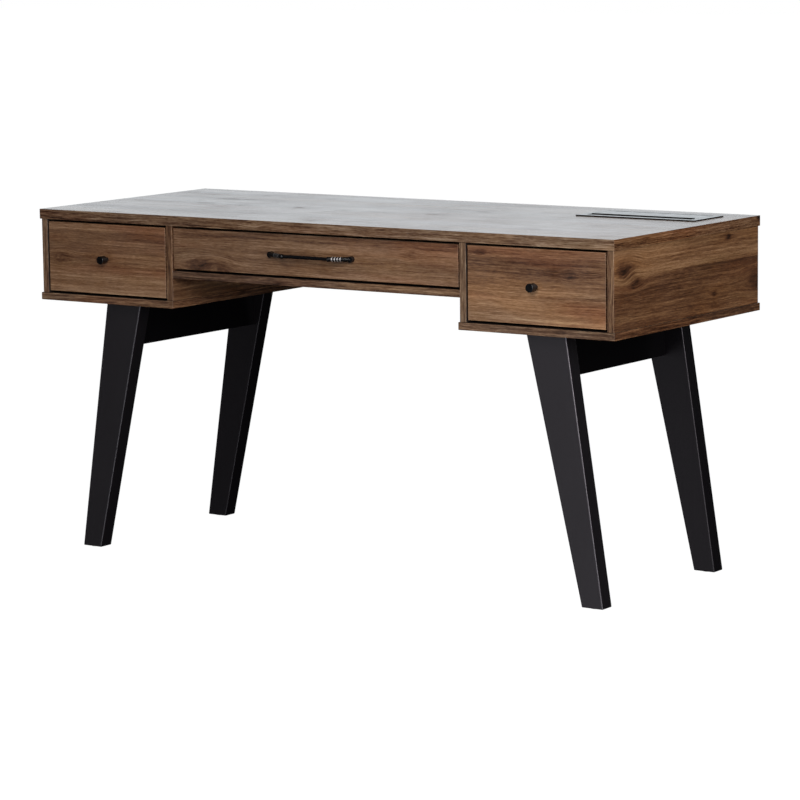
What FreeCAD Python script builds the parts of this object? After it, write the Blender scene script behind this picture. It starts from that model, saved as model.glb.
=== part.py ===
import FreeCAD, Part
import os

# A straight pedestal desk: a laminated carcass with three drawers on two splayed leg frames,
# and a power box under a hinged flap in the rear right corner of the top.
# Millimetres. +X right, +Y back, +Z up; the origin is on the floor under the middle.
# Every part is drawn on the right, at positive X, and mirrored where the desk has it twice.

Vector = FreeCAD.Vector
SIDES = ("left", "right")

# Carcass
DESK_WIDTH = 1484.0
DESK_DEPTH = 594.0
DESK_HEIGHT = 760.0
TOP_THICKNESS = 22.0
BOARD = 16.0
PEDESTAL_UNDERSIDE = 558.5
CENTRE_UNDERSIDE = 624.5
KNEE_HALF_WIDTH = 372.5
END_OVERHANG = 3.0
KNEE_OVERHANG = 2.0
FRONT_OVERHANG = 3.5
BACK_OVERHANG = 3.0
BOARD_EDGE = 0.8

# Legs and aprons
LEG_TOP_X = (501.0, 596.0)
LEG_FOOT_X = (631.5, 682.0)
LEG_DEPTH = 36.0
LEG_INSET = 51.0
LEG_EDGE = 2.0
APRON_THICKNESS = 22.0
APRON_HEIGHT = 99.0
GLIDE_HEIGHT = 1.0
GLIDE_RADIUS = 14.0
GLIDE_NAIL_RADIUS = 1.6
GLIDE_NAIL_LENGTH = 14.0

# Drawers
FRONT_RECESS = 0.5
DRAWER_SIDE_GAP = 3.5
DRAWER_LEVEL_GAP = 5.0
DRAWER_BOARD = 12.0
DRAWER_LENGTH = 350.0
SIDE_DRAWER_BOX_Z = (588.0, 708.0)
CENTRE_DRAWER_BOX_Z = (652.0, 714.0)
DRAWER_BOTTOM_THICKNESS = 4.0
DRAWER_BOTTOM_RISE = 8.0
GROOVE_DEPTH = 5.0

# Ball-bearing runners, three nested channels
RUNNER_WIDTH = 12.7
RUNNER_STEEL = 1.2
RUNNER_FRONT_GAP = 2.0
CABINET_CHANNEL = {"web": 0.0, "lip": 9.5, "half_height": 17.5}
MIDDLE_CHANNEL = {"web": 4.0, "lip": 10.8, "half_height": 13.8}
DRAWER_CHANNEL = {"web": RUNNER_WIDTH, "lip": 6.2, "half_height": 10.0}

# Knobs and the centre pull
PULL_HEIGHT = 689.5
PULL_SPACING = 208.0
PULL_AXIS_REACH = 24.3
PULL_BAR_RADIUS = 3.8
PULL_BAR_HALF_LENGTH = 60.0
PULL_ARM_RADIUS = 5.2
PULL_ARM_LANDING = 6.0
PULL_FOOT_RADIUS = 6.5
PULL_FOOT_LENGTH = 9.0
PULL_GROOVE_COUNT = 5
PULL_GROOVE_START = 6.0
PULL_GROOVE_PITCH = 6.0
PULL_GROOVE_WIDTH = 2.4
PULL_GROOVE_DEPTH = 1.0
KNOB_REACH = 25.0
KNOB_HEAD_RADIUS = 9.0
KNOB_HEAD_LENGTH = 16.0
KNOB_NECK_RADIUS = 5.0
METAL_EDGE = 1.0
SCREW_RADIUS = 2.0
SCREW_HEAD_RADIUS = 4.2
SCREW_HEAD_HEIGHT = 2.2
SCREW_BITE = 8.0

# Joinery
CAM_RADIUS = 7.5
CAM_DEPTH = 12.5
CAM_SETBACK = 24.0
CAM_SLOT_WIDTH = 2.0
CAM_SLOT_LENGTH = 9.0
CAM_SLOT_DEPTH = 3.0
CAM_ROWS = (-240.0, 0.0, 240.0)
CENTRE_CAM_ROWS = (-220.0, 220.0)
PIN_RADIUS = 3.0
PIN_BITE = 11.0
DOWEL_RADIUS = 4.0
DOWEL_IN_PANEL = 20.0
DOWEL_IN_BOARD = 10.0
DOWEL_ROWS = (-150.0, 150.0)
LEG_BOLT_RADIUS = 4.0
LEG_BOLT_LENGTH = 60.0
LEG_BOLT_HEAD_RADIUS = 9.0
LEG_BOLT_HEAD_HEIGHT = 4.0
LEG_BOLT_SPACING = 44.0
APRON_SCREW_RADIUS = 2.5
APRON_SCREW_LENGTH = 60.0
APRON_SCREW_HEAD_RADIUS = 5.5
APRON_SCREW_HEAD_HEIGHT = 3.0
APRON_SCREW_ROWS = (-110.0, 110.0)
LEG_DOWEL_RADIUS = 5.0
LEG_DOWEL_HALF_LENGTH = 20.0
LEG_DOWEL_DROPS = (25.0, 75.0)

# Power box
BOX_CENTRE_X = 546.0
BOX_FROM_BACK = 65.0
FLANGE_WIDTH = 290.0
FLANGE_DEPTH = 125.0
FLANGE_RISE = 2.4
FLANGE_CORNER = 3.0
FLANGE_EDGE = 0.8
BODY_WIDTH = 266.0
BODY_SPAN = (10.0, 115.0)
CUT_OUT_CLEARANCE = 1.0
RECESS_WIDTH = 254.0
RECESS_SPAN = (18.0, 113.0)
WELL_WIDTH = 240.0
WELL_SPAN = (18.0, 98.0)
WELL_FLOOR = 720.0
BASE_UNDERSIDE = 690.0
BOX_WALL = 3.0
FLAP_WIDTH = 252.0
FLAP_FRONT = 34.0
FLAP_THICKNESS = 3.0
FLAP_REST_GAP = 0.2
HINGE_FROM_FRONT = 107.5
HINGE_BARREL_RADIUS = 4.0
HINGE_PIN_RADIUS = 1.5
HINGE_PIN_CLEARANCE = 0.05
HINGE_PIN_BITE = 4.0
TROUGH_GAP = 0.5
SOCKET_PLATE_WIDTH = 150.0
SOCKET_PLATE_DEPTH = 46.0
SOCKET_PLATE_HEIGHT = 2.0
SOCKET_BODY_INSET = 4.0
SOCKET_BODY_DROP = 20.0
SOCKET_CENTRES = (-50.0, 5.0)
BLADE_OFFSET = 6.35
BLADE_WIDTH = 1.8
BLADE_LENGTH = 7.5
EARTH_RADIUS = 2.4
EARTH_OFFSET = 9.0
SOCKET_HOLE_DEPTH = 14.0
USB_CENTRE_X = 50.0
USB_OFFSETS = (-9.0, 9.0)
USB_WIDTH = 9.0
USB_HEIGHT = 3.2
USB_DEPTH = 7.0
GLAND_X = -95.0
GLAND_DROP = 15.0
GLAND_HOLE_RADIUS = 4.0
GLAND_NECK_RADIUS = 7.0
GLAND_RIM_RADIUS = 10.0
GLAND_OUTER_RIM = 5.0
GLAND_INNER_RIM = 4.0
CLAMP_WIDTH = 30.0
CLAMP_STEEL = 2.0
CLAMP_REACH = 20.0
GROMMET_X = 480.0
GROMMET_Z = 640.0
GROMMET_BORE_RADIUS = 25.0
GROMMET_SLEEVE_RADIUS = 29.0
GROMMET_RIM_RADIUS = 34.0

# Derived places
PULL_REACH = PULL_AXIS_REACH + PULL_ARM_RADIUS
OVERALL_DEPTH = DESK_DEPTH + PULL_REACH - FRONT_OVERHANG - FRONT_RECESS
Y_BACK = OVERALL_DEPTH / 2
Y_FRONT = Y_BACK - DESK_DEPTH
Y_MIDDLE = (Y_FRONT + Y_BACK) / 2
PANEL_Y = (Y_FRONT + FRONT_OVERHANG, Y_BACK - BACK_OVERHANG)
DRAWER_FACE_Y = PANEL_Y[0] + FRONT_RECESS
DRAWER_BOX_Y = (DRAWER_FACE_Y + BOARD, DRAWER_FACE_Y + BOARD + DRAWER_LENGTH)
TOP_UNDERSIDE = DESK_HEIGHT - TOP_THICKNESS
PEDESTAL_FLOOR = PEDESTAL_UNDERSIDE + BOARD
CENTRE_FLOOR = CENTRE_UNDERSIDE + BOARD
PANEL_Z = (PEDESTAL_FLOOR, TOP_UNDERSIDE)
OUTER_PANEL_X = (DESK_WIDTH / 2 - END_OVERHANG - BOARD, DESK_WIDTH / 2 - END_OVERHANG)
INNER_PANEL_X = (KNEE_HALF_WIDTH, KNEE_HALF_WIDTH + BOARD)
PEDESTAL_OPENING = (INNER_PANEL_X[1], OUTER_PANEL_X[0])
PEDESTAL_MIDDLE = sum(PEDESTAL_OPENING) / 2
CENTRE_OPENING = (-KNEE_HALF_WIDTH, KNEE_HALF_WIDTH)
FRONT_LEG_Y = (Y_FRONT + LEG_INSET, Y_FRONT + LEG_INSET + LEG_DEPTH)
REAR_LEG_Y = (Y_BACK - LEG_INSET - LEG_DEPTH, Y_BACK - LEG_INSET)
LEG_MIDDLE_X = sum(LEG_TOP_X) / 2
SIDE_FRONT_MIDDLE_Z = (PEDESTAL_FLOOR + TOP_UNDERSIDE) / 2
BOX_FRONT_Y = Y_BACK - BOX_FROM_BACK - FLANGE_DEPTH
HINGE_Y = BOX_FRONT_Y + HINGE_FROM_FRONT
FLANGE_TOP = DESK_HEIGHT + FLANGE_RISE
HINGE_Z = FLANGE_TOP - HINGE_BARREL_RADIUS
BOX_MIDDLE_Y = BOX_FRONT_Y + sum(WELL_SPAN) / 2


# Shape helpers

def block(x_span, y_span, z_span):
    """A box between the low and high ends of its spans."""
    size = [span[1] - span[0] for span in (x_span, y_span, z_span)]
    return Part.makeBox(*size, Vector(x_span[0], y_span[0], z_span[0]))


def about(middle, size):
    """The span of a size about its middle."""
    return (middle - size / 2, middle + size / 2)


def rod(radius, start, end):
    """A round rod between two points."""
    run = end - start
    return Part.makeCylinder(radius, run.Length, start, run)


def eased(solid, radius):
    """The solid with every edge rounded."""
    return solid.makeFillet(radius, solid.Edges)


def mirrored(shape):
    """The same shape on the other side of the desk."""
    return shape.mirror(Vector(0, 0, 0), Vector(1, 0, 0))


def both_sides(shapes):
    """The shapes on the right and their mirror images on the left."""
    return shapes + [mirrored(shape) for shape in shapes]


def joined(shapes):
    """The shapes fused into one solid."""
    whole = shapes[0].fuse(shapes[1:])
    return whole.removeSplitter()


def with_holes(solid, cutters):
    """The solid with the room that its fasteners and neighbours take cut out."""
    near = [cutter for cutter in cutters if cutter.BoundBox.intersect(solid.BoundBox)]
    if not near:
        return solid
    return solid.cut(near)


# Fasteners, each list drawn on the right

def panel_cam_places():
    """Where each panel's cams sit: face, way into the board, row, edge height, way to the edge."""
    faces = ((OUTER_PANEL_X[0], 1), (INNER_PANEL_X[1], -1))
    edges = ((PANEL_Z[1], 1), (PANEL_Z[0], -1))
    return [(face, inward, Y_MIDDLE + row, edge, outward)
            for face, inward in faces for row in CAM_ROWS for edge, outward in edges]


def cam_mouths():
    """The face point and the way into the board of every cam on the right."""
    mouths = [(Vector(face, row, edge - outward * CAM_SETBACK), Vector(inward, 0, 0))
              for face, inward, row, edge, outward in panel_cam_places()]
    centre_x = KNEE_HALF_WIDTH - CAM_SETBACK
    mouths += [(Vector(centre_x, Y_MIDDLE + row, CENTRE_UNDERSIDE), Vector(0, 0, 1))
               for row in CENTRE_CAM_ROWS]
    return mouths


def cam_bores():
    """The round pockets that the cams fill."""
    return [rod(CAM_RADIUS, mouth, mouth + inward * CAM_DEPTH) for mouth, inward in cam_mouths()]


def cam_cross(mouth, inward):
    """The two slots that cross in a cam's face."""
    across = [axis for axis in range(3) if not inward[axis]]
    slots = []
    for long_axis in across:
        size = [2 * CAM_SLOT_DEPTH] * 3
        for axis in across:
            size[axis] = CAM_SLOT_WIDTH
        size[long_axis] = CAM_SLOT_LENGTH
        slots.append(block(*[about(mouth[axis], size[axis]) for axis in range(3)]))
    return slots


def cam_pins():
    """The steel pins, each from the middle of a cam into the neighbouring board, in the cams' order."""
    pins = []
    for face, inward, row, edge, outward in panel_cam_places():
        middle = face + inward * BOARD / 2
        start = Vector(middle, row, edge - outward * CAM_SETBACK)
        pins.append(rod(PIN_RADIUS, start, Vector(middle, row, edge + outward * PIN_BITE)))
    centre_z = CENTRE_UNDERSIDE + BOARD / 2
    for row in CENTRE_CAM_ROWS:
        start = Vector(KNEE_HALF_WIDTH - CAM_SETBACK, Y_MIDDLE + row, centre_z)
        pins.append(rod(PIN_RADIUS, start, Vector(KNEE_HALF_WIDTH + PIN_BITE, Y_MIDDLE + row, centre_z)))
    return pins


def cam_locks():
    """The cams, each with a cross for the screwdriver and a hole for its pin."""
    places = zip(cam_bores(), cam_mouths(), cam_pins())
    return [bore.cut(cam_cross(mouth, inward) + [pin]) for bore, (mouth, inward), pin in places]


def carcass_dowels():
    """The wooden dowels that line up the right pedestal's panels with the top and bottom boards."""
    dowels = []
    for middle in (sum(OUTER_PANEL_X) / 2, sum(INNER_PANEL_X) / 2):
        for row in DOWEL_ROWS:
            for edge, outward in ((PANEL_Z[1], 1), (PANEL_Z[0], -1)):
                start = Vector(middle, Y_MIDDLE + row, edge - outward * DOWEL_IN_PANEL)
                end = Vector(middle, Y_MIDDLE + row, edge + outward * DOWEL_IN_BOARD)
                dowels.append(rod(DOWEL_RADIUS, start, end))
    return dowels


def headed(head_radius, head_height, shank_radius, seat, run):
    """A screw whose head sits on the seat point and whose shank follows the run."""
    back = run * (head_height / run.Length)
    head = rod(head_radius, seat - back, seat)
    return joined([head, rod(shank_radius, seat, seat + run)])


def leg_bolts():
    """Two bolts down through the bottom board into each right leg."""
    bolts = []
    for leg_y in (FRONT_LEG_Y, REAR_LEG_Y):
        for x in about(LEG_MIDDLE_X, LEG_BOLT_SPACING):
            seat = Vector(x, sum(leg_y) / 2, PEDESTAL_FLOOR)
            run = Vector(0, 0, -LEG_BOLT_LENGTH)
            bolts.append(headed(LEG_BOLT_HEAD_RADIUS, LEG_BOLT_HEAD_HEIGHT, LEG_BOLT_RADIUS, seat, run))
    return bolts


def apron_screws():
    """Two screws down through the bottom board into the right apron."""
    run = Vector(0, 0, -APRON_SCREW_LENGTH)
    return [headed(APRON_SCREW_HEAD_RADIUS, APRON_SCREW_HEAD_HEIGHT, APRON_SCREW_RADIUS,
                   Vector(LEG_MIDDLE_X, Y_MIDDLE + row, PEDESTAL_FLOOR), run) for row in APRON_SCREW_ROWS]


def leg_dowels():
    """Two dowels in each joint between the right apron and a leg."""
    reach = Vector(0, LEG_DOWEL_HALF_LENGTH, 0)
    dowels = []
    for joint_y in (FRONT_LEG_Y[1], REAR_LEG_Y[0]):
        for drop in LEG_DOWEL_DROPS:
            middle = Vector(LEG_MIDDLE_X, joint_y, PEDESTAL_UNDERSIDE - drop)
            dowels.append(rod(LEG_DOWEL_RADIUS, middle - reach, middle + reach))
    return dowels


def foot_glides():
    """A round glide nailed under each right leg."""
    x = sum(LEG_FOOT_X) / 2
    glides = []
    for leg_y in (FRONT_LEG_Y, REAR_LEG_Y):
        seat = Vector(x, sum(leg_y) / 2, GLIDE_HEIGHT)
        run = Vector(0, 0, GLIDE_NAIL_LENGTH)
        glides.append(headed(GLIDE_RADIUS, GLIDE_HEIGHT, GLIDE_NAIL_RADIUS, seat, run))
    return glides


# Carcass boards

def top_panel(cutters):
    """The top, with the cut-out that the power box drops into."""
    slab = block(about(0, DESK_WIDTH), (Y_FRONT, Y_BACK), (TOP_UNDERSIDE, DESK_HEIGHT))
    cut_x = about(BOX_CENTRE_X, BODY_WIDTH + 2 * CUT_OUT_CLEARANCE)
    cut_y = (BOX_FRONT_Y + BODY_SPAN[0] - CUT_OUT_CLEARANCE, BOX_FRONT_Y + BODY_SPAN[1] + CUT_OUT_CLEARANCE)
    cut_out = block(cut_x, cut_y, (TOP_UNDERSIDE - BOARD, DESK_HEIGHT + BOARD))
    return with_holes(eased(slab, BOARD_EDGE).cut(cut_out), cutters)


def carcass_boards(cutters):
    """The boards of the right pedestal, by name."""
    bottom_x = (KNEE_HALF_WIDTH - KNEE_OVERHANG, DESK_WIDTH / 2)
    back_y = (PANEL_Y[1] - BOARD, PANEL_Y[1])
    boards = {
        "side_panel": block(OUTER_PANEL_X, PANEL_Y, PANEL_Z),
        "inner_panel": block(INNER_PANEL_X, PANEL_Y, PANEL_Z),
        "bottom_board": block(bottom_x, (Y_FRONT, Y_BACK), (PEDESTAL_UNDERSIDE, PEDESTAL_FLOOR)),
        "back_panel": block(PEDESTAL_OPENING, back_y, PANEL_Z),
    }
    return {name: with_holes(eased(board, BOARD_EDGE), cutters) for name, board in boards.items()}


def centre_boards(cutters):
    """The board under the centre drawer and the panel behind it."""
    back_y = (PANEL_Y[1] - BOARD, PANEL_Y[1])
    bottom = block(CENTRE_OPENING, PANEL_Y, (CENTRE_UNDERSIDE, CENTRE_FLOOR))
    back = block(CENTRE_OPENING, back_y, (CENTRE_FLOOR, TOP_UNDERSIDE))
    return with_holes(eased(bottom, BOARD_EDGE), cutters), eased(back, BOARD_EDGE)


# Legs

def leg(leg_y, cutters):
    """A tapered leg that leans outward towards the floor."""
    outline = [(LEG_FOOT_X[0], GLIDE_HEIGHT), (LEG_FOOT_X[1], GLIDE_HEIGHT),
               (LEG_TOP_X[1], PEDESTAL_UNDERSIDE), (LEG_TOP_X[0], PEDESTAL_UNDERSIDE)]
    corners = [Vector(x, leg_y[0], z) for x, z in outline]
    face = Part.Face(Part.makePolygon(corners + corners[:1]))
    solid = face.extrude(Vector(0, leg_y[1] - leg_y[0], 0))
    return with_holes(eased(solid, LEG_EDGE), cutters)


def apron(cutters):
    """The rail between the front and rear leg, under the bottom board."""
    x_span = about(LEG_MIDDLE_X, APRON_THICKNESS)
    z_span = (PEDESTAL_UNDERSIDE - APRON_HEIGHT, PEDESTAL_UNDERSIDE)
    return with_holes(eased(block(x_span, (FRONT_LEG_Y[1], REAR_LEG_Y[0]), z_span), BOARD_EDGE), cutters)


# Drawers

def drawer_box(opening, box_z):
    """The four boards and the thin bottom of a drawer behind its front, by name."""
    outer = (opening[0] + RUNNER_WIDTH, opening[1] - RUNNER_WIDTH)
    inner = (outer[0] + DRAWER_BOARD, outer[1] - DRAWER_BOARD)
    back_y = (DRAWER_BOX_Y[1] - DRAWER_BOARD, DRAWER_BOX_Y[1])
    bottom_z = (box_z[0] + DRAWER_BOTTOM_RISE, box_z[0] + DRAWER_BOTTOM_RISE + DRAWER_BOTTOM_THICKNESS)
    bottom = block((inner[0] - GROOVE_DEPTH, inner[1] + GROOVE_DEPTH),
                   (DRAWER_BOX_Y[0] - GROOVE_DEPTH, back_y[0] + GROOVE_DEPTH), bottom_z)
    boards = {
        "left_side": block((outer[0], inner[0]), DRAWER_BOX_Y, box_z),
        "right_side": block((inner[1], outer[1]), DRAWER_BOX_Y, box_z),
        "back": block(inner, back_y, box_z),
    }
    pieces = {name: eased(board, BOARD_EDGE).cut(bottom) for name, board in boards.items()}
    pieces["bottom"] = bottom
    return pieces


def drawer_front(opening, floor_z, cutters):
    """The laminated front that closes the opening."""
    x_span = (opening[0] + DRAWER_SIDE_GAP, opening[1] - DRAWER_SIDE_GAP)
    y_span = (DRAWER_FACE_Y, DRAWER_FACE_Y + BOARD)
    z_span = (floor_z + DRAWER_LEVEL_GAP, TOP_UNDERSIDE - DRAWER_LEVEL_GAP)
    return with_holes(eased(block(x_span, y_span, z_span), BOARD_EDGE), cutters)


def channel(member, wall_x, way, z):
    """One steel channel of a runner, measured from the cabinet wall towards the drawer."""
    y_start = DRAWER_BOX_Y[0] + RUNNER_FRONT_GAP
    y_span = (y_start, DRAWER_BOX_Y[1])
    opens = 1 if member["lip"] > member["web"] else -1
    web = sorted(wall_x + way * (member["web"] + opens * edge) for edge in (0, RUNNER_STEEL))
    lips = sorted(wall_x + way * edge for edge in (member["web"], member["lip"]))
    half = member["half_height"]
    pieces = [block(web, y_span, (z - half, z + half)),
              block(lips, y_span, (z - half, z - half + RUNNER_STEEL)),
              block(lips, y_span, (z + half - RUNNER_STEEL, z + half))]
    return joined(pieces)


def runner_pair(member, opening, box_z):
    """The same channel at both walls of a drawer opening."""
    z = sum(box_z) / 2
    return [channel(member, opening[0], 1, z), channel(member, opening[1], -1, z)]


# Knobs and pull

def handle_screw(x, z):
    """A screw from inside a drawer through its front."""
    seat = Vector(x, DRAWER_FACE_Y + BOARD, z)
    run = Vector(0, -BOARD - SCREW_BITE, 0)
    return headed(SCREW_HEAD_RADIUS, SCREW_HEAD_HEIGHT, SCREW_RADIUS, seat, run)


def knob(x, z):
    """A turned knob: a narrow neck on the drawer front and a round head with soft edges."""
    face = Vector(x, DRAWER_FACE_Y, z)
    head_start = face - Vector(0, KNOB_REACH - KNOB_HEAD_LENGTH, 0)
    head_end = face - Vector(0, KNOB_REACH, 0)
    head = eased(rod(KNOB_HEAD_RADIUS, head_start, head_end), METAL_EDGE)
    return joined([head, rod(KNOB_NECK_RADIUS, face, head_start)]).cut(handle_screw(x, z))


def pull_arm():
    """The right arm of the pull: it slopes from the bar back to the foot, with grooves round it."""
    bend = Vector(PULL_BAR_HALF_LENGTH, DRAWER_FACE_Y - PULL_AXIS_REACH, PULL_HEIGHT)
    landing = Vector(PULL_SPACING / 2, DRAWER_FACE_Y - PULL_ARM_LANDING, PULL_HEIGHT)
    arm = joined([rod(PULL_ARM_RADIUS, bend, landing), Part.makeSphere(PULL_ARM_RADIUS, bend)])
    along = (landing - bend).normalize()
    for index in range(PULL_GROOVE_COUNT):
        start = bend + along * (PULL_GROOVE_START + PULL_GROOVE_PITCH * index)
        end = start + along * PULL_GROOVE_WIDTH
        ring = rod(PULL_ARM_RADIUS + METAL_EDGE, start, end)
        arm = arm.cut(ring.cut(rod(PULL_ARM_RADIUS - PULL_GROOVE_DEPTH, start, end)))
    return arm


def pull_foot():
    """The round foot that the right arm lands on."""
    seat = Vector(PULL_SPACING / 2, DRAWER_FACE_Y, PULL_HEIGHT)
    front = seat - Vector(0, PULL_FOOT_LENGTH, 0)
    return rod(PULL_FOOT_RADIUS, seat, front)


def centre_pull(cutters):
    """The bow pull: a slim bar between two arms that slope back to round feet."""
    bend = Vector(PULL_BAR_HALF_LENGTH, DRAWER_FACE_Y - PULL_AXIS_REACH, PULL_HEIGHT)
    bar = rod(PULL_BAR_RADIUS, Vector(-bend.x, bend.y, bend.z), bend)
    return with_holes(joined([bar] + both_sides([pull_arm(), pull_foot()])), cutters)


# Power box

def box_y(span):
    """A span measured back from the flange's front edge."""
    return (BOX_FRONT_Y + span[0], BOX_FRONT_Y + span[1])


def hinge_rod(radius, half_length):
    """A rod on the flap's hinge axis."""
    return rod(radius, Vector(BOX_CENTRE_X - half_length, HINGE_Y, HINGE_Z),
               Vector(BOX_CENTRE_X + half_length, HINGE_Y, HINGE_Z))


def flap_hinge_pin():
    """The steel pin through the flap's rear edge, held in the housing's side walls."""
    return hinge_rod(HINGE_PIN_RADIUS, RECESS_WIDTH / 2 + HINGE_PIN_BITE)


def flap():
    """The flap: a thin plate whose rear edge is a round barrel about the hinge pin."""
    x_span = about(BOX_CENTRE_X, FLAP_WIDTH)
    plate = block(x_span, (BOX_FRONT_Y + FLAP_FRONT, HINGE_Y), (FLANGE_TOP - FLAP_THICKNESS, FLANGE_TOP))
    barrel = hinge_rod(HINGE_BARREL_RADIUS, FLAP_WIDTH / 2)
    bore = hinge_rod(HINGE_PIN_RADIUS + HINGE_PIN_CLEARANCE, FLAP_WIDTH / 2)
    return joined([plate, barrel]).cut(bore)


def flange():
    """The low rim that frames the power box on the top."""
    plate = block(about(BOX_CENTRE_X, FLANGE_WIDTH), box_y((0, FLANGE_DEPTH)), (DESK_HEIGHT, FLANGE_TOP))
    corners = [edge for edge in plate.Edges if edge.BoundBox.ZLength > FLANGE_RISE / 2]
    plate = plate.makeFillet(FLANGE_CORNER, corners)
    upper = [edge for edge in plate.Edges if edge.BoundBox.ZMin > FLANGE_TOP - FLANGE_RISE / 4]
    return plate.makeFillet(FLANGE_EDGE, upper)


def power_box_housing():
    """The flange, the recess that the flap closes and the well with the sockets."""
    body = block(about(BOX_CENTRE_X, BODY_WIDTH), box_y(BODY_SPAN), (WELL_FLOOR - BOX_WALL, DESK_HEIGHT))
    recess_floor = FLANGE_TOP - FLAP_THICKNESS - FLAP_REST_GAP
    trough_floor = HINGE_Z - HINGE_BARREL_RADIUS - TROUGH_GAP
    above = FLANGE_TOP + BOX_WALL
    recess_x = about(BOX_CENTRE_X, RECESS_WIDTH)
    hollows = [
        block(recess_x, box_y(RECESS_SPAN), (recess_floor, above)),
        block(recess_x, box_y((WELL_SPAN[1], RECESS_SPAN[1])), (trough_floor, above)),
        block(about(BOX_CENTRE_X, WELL_WIDTH), box_y(WELL_SPAN), (WELL_FLOOR, above)),
        socket_body(),
        flap_hinge_pin(),
    ]
    return joined([body, flange()]).cut(hollows)


def socket_body():
    """The part of the socket module that hangs below the well's floor."""
    x_span = about(BOX_CENTRE_X, SOCKET_PLATE_WIDTH - 2 * SOCKET_BODY_INSET)
    y_span = about(BOX_MIDDLE_Y, SOCKET_PLATE_DEPTH - 2 * SOCKET_BODY_INSET)
    return block(x_span, y_span, (WELL_FLOOR - SOCKET_BODY_DROP, WELL_FLOOR))


def socket_module():
    """Two mains sockets and two small charging ports in one moulded plate."""
    plate_top = WELL_FLOOR + SOCKET_PLATE_HEIGHT
    plate = block(about(BOX_CENTRE_X, SOCKET_PLATE_WIDTH), about(BOX_MIDDLE_Y, SOCKET_PLATE_DEPTH),
                  (WELL_FLOOR, plate_top))
    holes = []
    for centre in SOCKET_CENTRES:
        x = BOX_CENTRE_X + centre
        hole_z = (plate_top - SOCKET_HOLE_DEPTH, plate_top)
        for blade_x in about(x, 2 * BLADE_OFFSET):
            holes.append(block(about(blade_x, BLADE_WIDTH), about(BOX_MIDDLE_Y, BLADE_LENGTH), hole_z))
        earth = Vector(x, BOX_MIDDLE_Y - EARTH_OFFSET, plate_top)
        holes.append(rod(EARTH_RADIUS, earth - Vector(0, 0, SOCKET_HOLE_DEPTH), earth))
    for offset in USB_OFFSETS:
        holes.append(block(about(BOX_CENTRE_X + USB_CENTRE_X, USB_WIDTH),
                           about(BOX_MIDDLE_Y + offset, USB_HEIGHT), (plate_top - USB_DEPTH, plate_top)))
    return joined([plate, socket_body()]).cut(holes)


def power_box_base():
    """The tray under the well that covers the wiring, with the gland's hole in its rear wall."""
    outer = block(about(BOX_CENTRE_X, BODY_WIDTH), box_y(BODY_SPAN), (BASE_UNDERSIDE, WELL_FLOOR - BOX_WALL))
    inside_y = box_y((BODY_SPAN[0] + BOX_WALL, BODY_SPAN[1] - BOX_WALL))
    inside = block(about(BOX_CENTRE_X, BODY_WIDTH - 2 * BOX_WALL), inside_y,
                   (BASE_UNDERSIDE + BOX_WALL, WELL_FLOOR))
    return outer.cut([inside, gland_rod(GLAND_NECK_RADIUS, -BOX_WALL, 0)])


def gland_rod(radius, start, end):
    """A rod on the gland's axis, between two distances back from the tray's rear wall."""
    wall_y = BOX_FRONT_Y + BODY_SPAN[1]
    x = BOX_CENTRE_X + GLAND_X
    z = WELL_FLOOR - GLAND_DROP
    return rod(radius, Vector(x, wall_y + start, z), Vector(x, wall_y + end, z))


def power_cord_gland():
    """The bush in the tray's rear wall that the mains lead passes through."""
    inner_end = -BOX_WALL - GLAND_INNER_RIM
    pieces = [gland_rod(GLAND_RIM_RADIUS, inner_end, -BOX_WALL),
              gland_rod(GLAND_NECK_RADIUS, -BOX_WALL, 0),
              gland_rod(GLAND_RIM_RADIUS, 0, GLAND_OUTER_RIM)]
    return joined(pieces).cut(gland_rod(GLAND_HOLE_RADIUS, inner_end, GLAND_OUTER_RIM))


def housing_clamps():
    """An angle bracket at each end of the housing that grips the underside of the top."""
    y_span = about(BOX_MIDDLE_Y, CLAMP_WIDTH)
    clamps = []
    for way in (-1, 1):
        wall_x = BOX_CENTRE_X + way * BODY_WIDTH / 2
        upright = block(sorted((wall_x, wall_x + way * CLAMP_STEEL)), y_span,
                        (WELL_FLOOR, TOP_UNDERSIDE))
        foot = block(sorted((wall_x, wall_x + way * CLAMP_REACH)), y_span,
                     (TOP_UNDERSIDE - CLAMP_STEEL, TOP_UNDERSIDE))
        clamps.append(joined([upright, foot]))
    return clamps


def grommet_rod(radius, y_span):
    """A rod on the grommet's axis."""
    start, end = [Vector(GROMMET_X, y, GROMMET_Z) for y in y_span]
    return rod(radius, start, end)


def cable_grommet():
    """The ring in the right back panel that the mains lead leaves through."""
    whole_y = (PANEL_Y[1] - BOARD, Y_BACK)
    sleeve = grommet_rod(GROMMET_SLEEVE_RADIUS, whole_y)
    rim = grommet_rod(GROMMET_RIM_RADIUS, (PANEL_Y[1], Y_BACK))
    return joined([sleeve, rim]).cut(grommet_rod(GROMMET_BORE_RADIUS, whole_y))


# Assembly: each function returns the shapes of its nodes, by node name

def joinery_nodes():
    """The fasteners of the carcass and the leg frames, each kind as one group."""
    return {
        "cam_locks": both_sides(cam_locks()),
        "cam_pins": both_sides(cam_pins()),
        "carcass_dowels": both_sides(carcass_dowels()),
        "leg_bolts": both_sides(leg_bolts()),
        "apron_screws": both_sides(apron_screws()),
        "leg_dowels": both_sides(leg_dowels()),
        "foot_glides": both_sides(foot_glides()),
    }


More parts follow.
